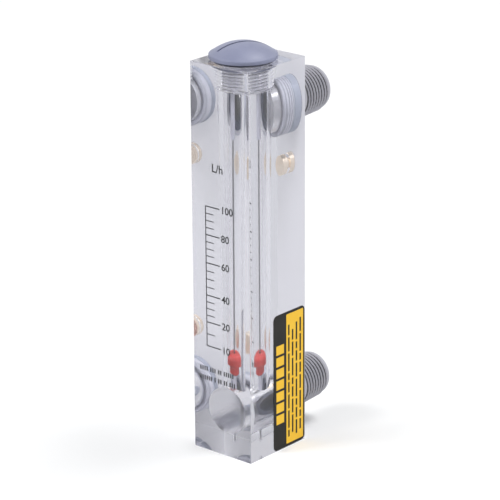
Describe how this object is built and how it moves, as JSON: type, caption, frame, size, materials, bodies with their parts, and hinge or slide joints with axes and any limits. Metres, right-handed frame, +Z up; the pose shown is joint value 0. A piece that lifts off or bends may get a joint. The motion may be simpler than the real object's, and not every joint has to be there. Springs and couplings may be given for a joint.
{
  "type": "rotameter",
  "caption": "Clear block flow meter with a red float on a guide rod in a tapered bore, a domed screw plug on top and two threaded nipples at the rear.",
  "frame": {"origin": "centre of the block's flat bottom face", "axes": "+Z up along the block and the float's travel; +Y towards the rear nipples; the scale face looks along -Y; +X to the right seen from the front"},
  "size_m": [0.0307, 0.0589, 0.1725],
  "materials": {
    "clear_acrylic": "polished clear acrylic",
    "plug_plastic": "satin blue-grey plastic",
    "seal_rubber": "black rubber",
    "seal_silicone": "pale translucent silicone",
    "rod_steel": "drawn stainless steel wire",
    "stop_plastic": "pale translucent plastic sleeve",
    "float_plastic": "satin red plastic",
    "adaptor_plastic": "machined grey plastic",
    "insert_brass": "turned brass",
    "label_film": "black and yellow vinyl film"
  },
  "bodies": {
    "meter_block": {"body_block": "clear_acrylic", "inlet_adaptor": "adaptor_plastic", "outlet_adaptor": "adaptor_plastic", "inlet_o_ring": "seal_silicone", "outlet_o_ring": "seal_silicone", "mounting_inserts": "insert_brass", "side_label": "label_film"},
    "rod_assembly": {"guide_rod": "rod_steel", "upper_stop": "stop_plastic", "lower_stop": "stop_plastic"},
    "plug": {"top_plug": "plug_plastic", "plug_o_ring": "seal_rubber"},
    "float": {"float": "float_plastic"}
  },
  "joints": [
    {"name": "float_slide", "type": "slide", "parent": "rod_assembly", "child": "float", "axis": [0, 0, 1], "range_m": [0, 0.091]},
    {"name": "plug_lift", "type": "slide", "parent": "meter_block", "child": "rod_assembly", "axis": [0, 0, 1], "range_m": [0, 0.0087]},
    {"name": "plug_turn", "type": "hinge", "parent": "rod_assembly", "child": "plug", "pos_m": [0, -0.00265, 0.165], "axis": [0, 0, 1], "range_deg": [0, 2340]}
  ],
  "couplings": [
    {"joint": "plug_lift", "follows": "plug_turn", "m_per_rad": 0.00021279}
  ]
}
